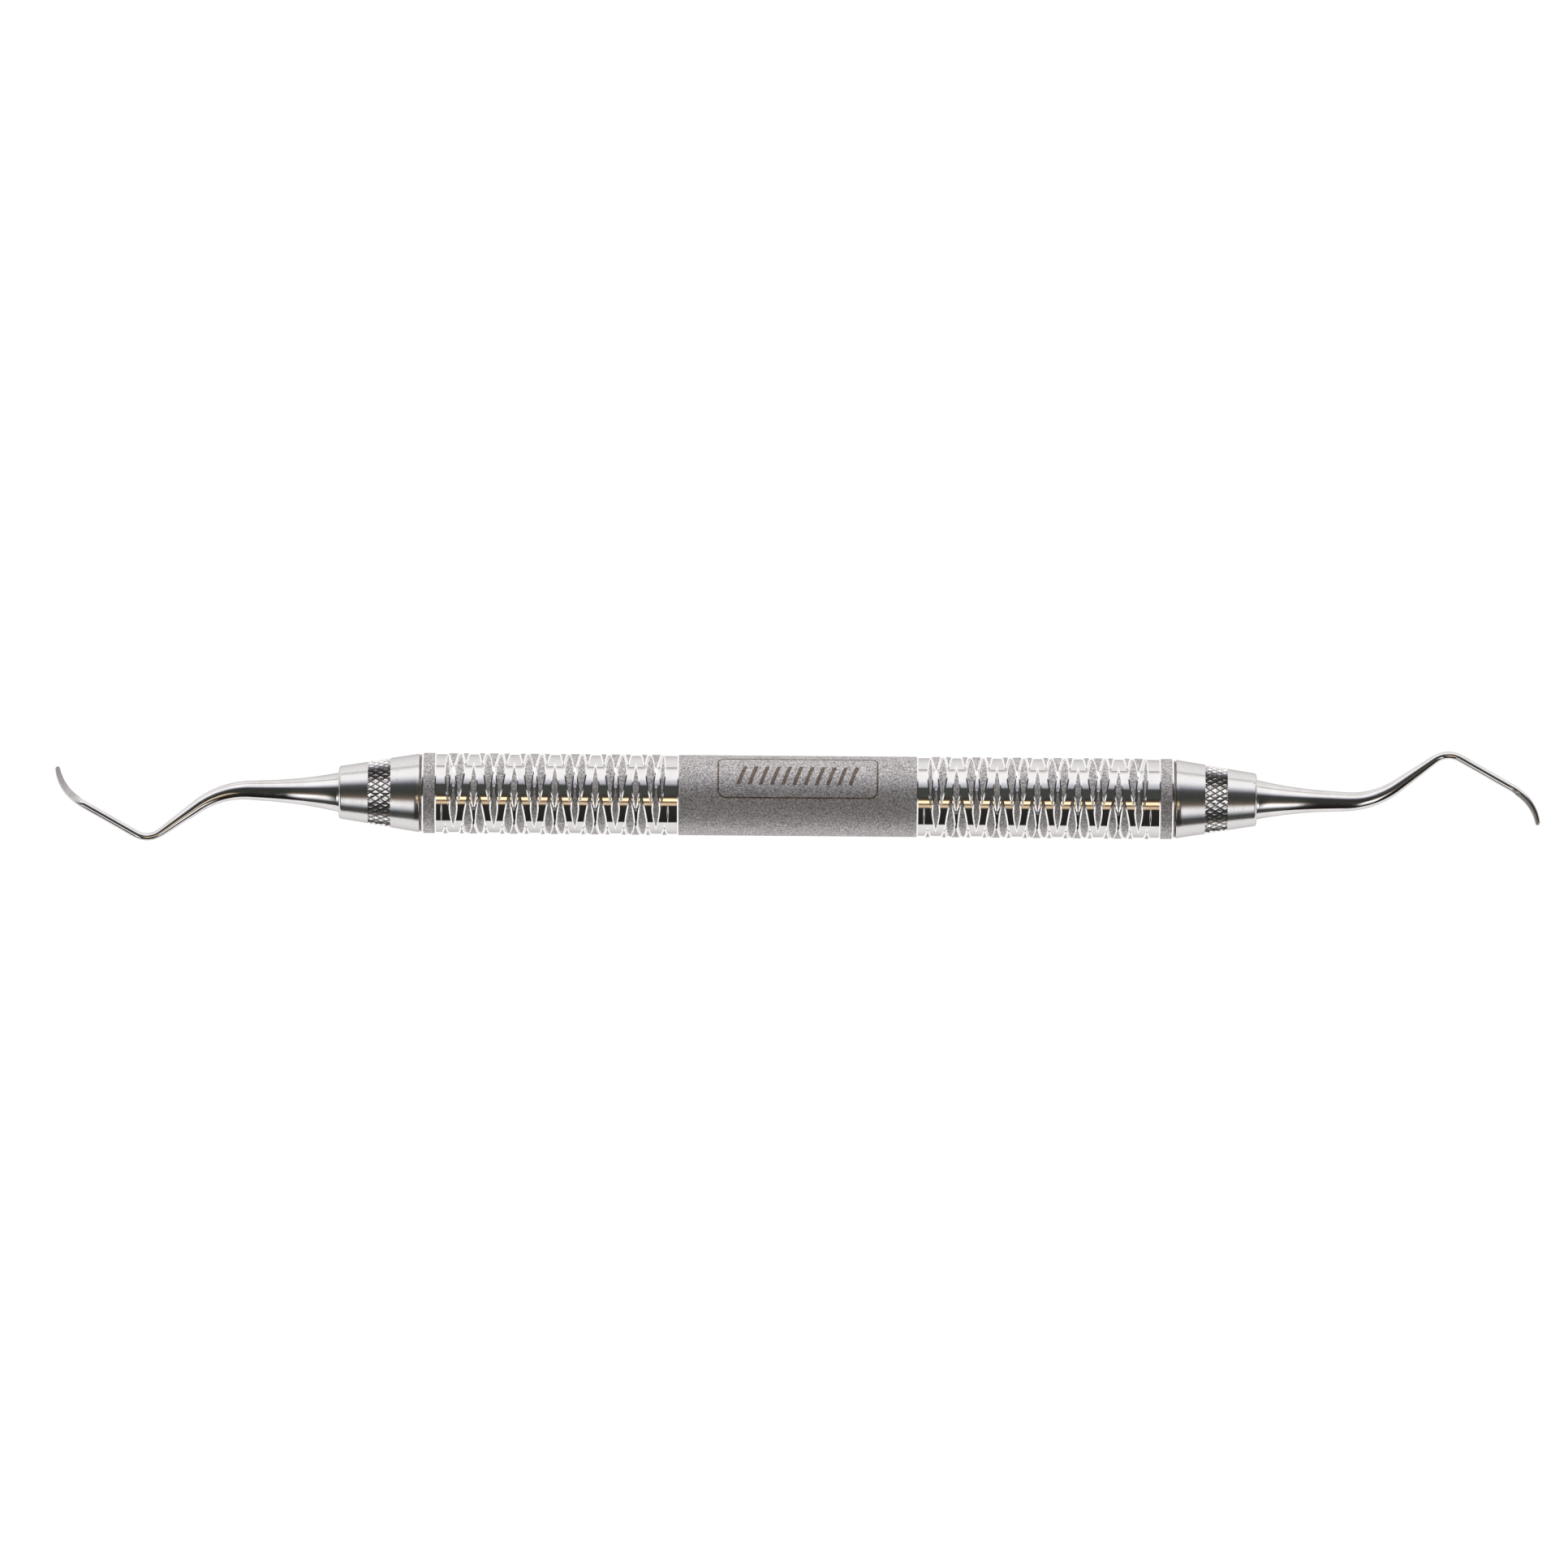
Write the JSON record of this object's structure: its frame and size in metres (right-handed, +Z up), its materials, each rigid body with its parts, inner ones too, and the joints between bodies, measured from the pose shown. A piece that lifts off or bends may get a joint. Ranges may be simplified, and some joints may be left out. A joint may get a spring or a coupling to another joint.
{
  "type": "hand scaler",
  "caption": "Double-ended dental hand scaler: hollow textured steel handle with knurled screw-in cones, each holding a bent tapering shank with a small curved curette blade.",
  "frame": {"origin": "on the surface the handle rests on, under the middle of the handle", "axes": "+X along the handle towards the right end, +Z up out of the surface, and the shanks bend in the XY plane"},
  "size_m": [0.1754, 0.0118, 0.0095],
  "materials": {
    "handle_steel": "fine grit-blasted bands and raised leaf pattern over polished grip zones",
    "insert_steel": "turned",
    "washer_polymer": "amber sealing polymer",
    "cone_steel": "satin turned with a diamond knurl",
    "tip_steel": "mirror polished stainless steel"
  },
  "bodies": {
    "handle": {"handle_tube": "handle_steel", "left_thread_insert": "insert_steel", "right_thread_insert": "insert_steel"},
    "left_washer": {"left_sealing_washer": "washer_polymer"},
    "left_end": {"left_cone": "cone_steel", "left_working_tip": "tip_steel"},
    "right_washer": {"right_sealing_washer": "washer_polymer"},
    "right_end": {"right_cone": "cone_steel", "right_working_tip": "tip_steel"}
  },
  "joints": [
    {"name": "left_thread_travel", "type": "slide", "parent": "handle", "child": "left_washer", "axis": [-1, 0, 0], "range_m": [0, 0.006]},
    {"name": "left_end_turn", "type": "hinge", "parent": "left_washer", "child": "left_end", "pos_m": [-0.0446, 0, 0.00474], "axis": [-1, 0, 0], "range_deg": [0, 2700]},
    {"name": "right_thread_travel", "type": "slide", "parent": "handle", "child": "right_washer", "axis": [1, 0, 0], "range_m": [0, 0.006]},
    {"name": "right_end_turn", "type": "hinge", "parent": "right_washer", "child": "right_end", "pos_m": [0.0446, 0, 0.00474], "axis": [1, 0, 0], "range_deg": [0, 2700]}
  ],
  "couplings": [
    {"joint": "left_end_turn", "follows": "left_thread_travel", "rad_per_m": 7854},
    {"joint": "right_end_turn", "follows": "right_thread_travel", "rad_per_m": 7854}
  ]
}
